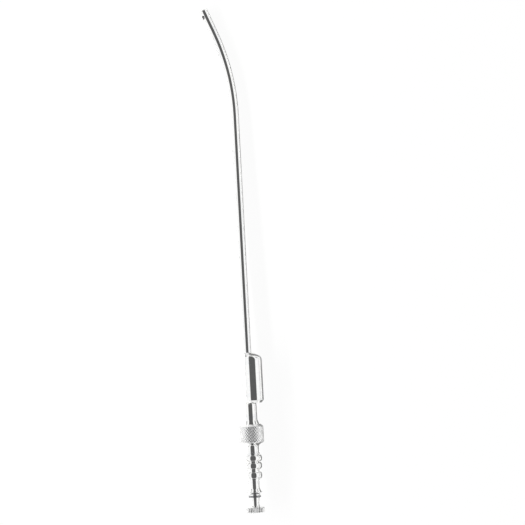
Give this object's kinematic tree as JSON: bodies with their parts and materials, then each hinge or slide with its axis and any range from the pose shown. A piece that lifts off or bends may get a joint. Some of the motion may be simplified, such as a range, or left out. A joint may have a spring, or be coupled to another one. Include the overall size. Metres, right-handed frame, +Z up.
{
  "type": "surgical suction tube",
  "caption": "Bent steel suction tube with a side eye near its mouth, an off-axis barrel, a knurled collar, a ribbed hose nipple and a knurled stylet head.",
  "frame": {"origin": "on the surface it lies on, under the middle of its outline seen from above", "axes": "+Y along the instrument from the stylet's head to the mouth, +Z up from the surface, the tip bends towards -X and the barrel stands out towards +X"},
  "size_m": [0.0178, 0.2076, 0.0102],
  "materials": {
    "polished_steel": "mirror polished stainless steel",
    "knurled_steel": "knurled, bead blasted stainless steel",
    "wire_steel": "drawn stainless steel wire"
  },
  "bodies": {
    "root": {"suction_tube": "polished_steel", "thumb_barrel": "polished_steel", "grip_collar": "knurled_steel", "hose_nipple": "polished_steel", "stylet_knob": "knurled_steel", "stylet_wire": "wire_steel"}
  },
  "joints": []
}
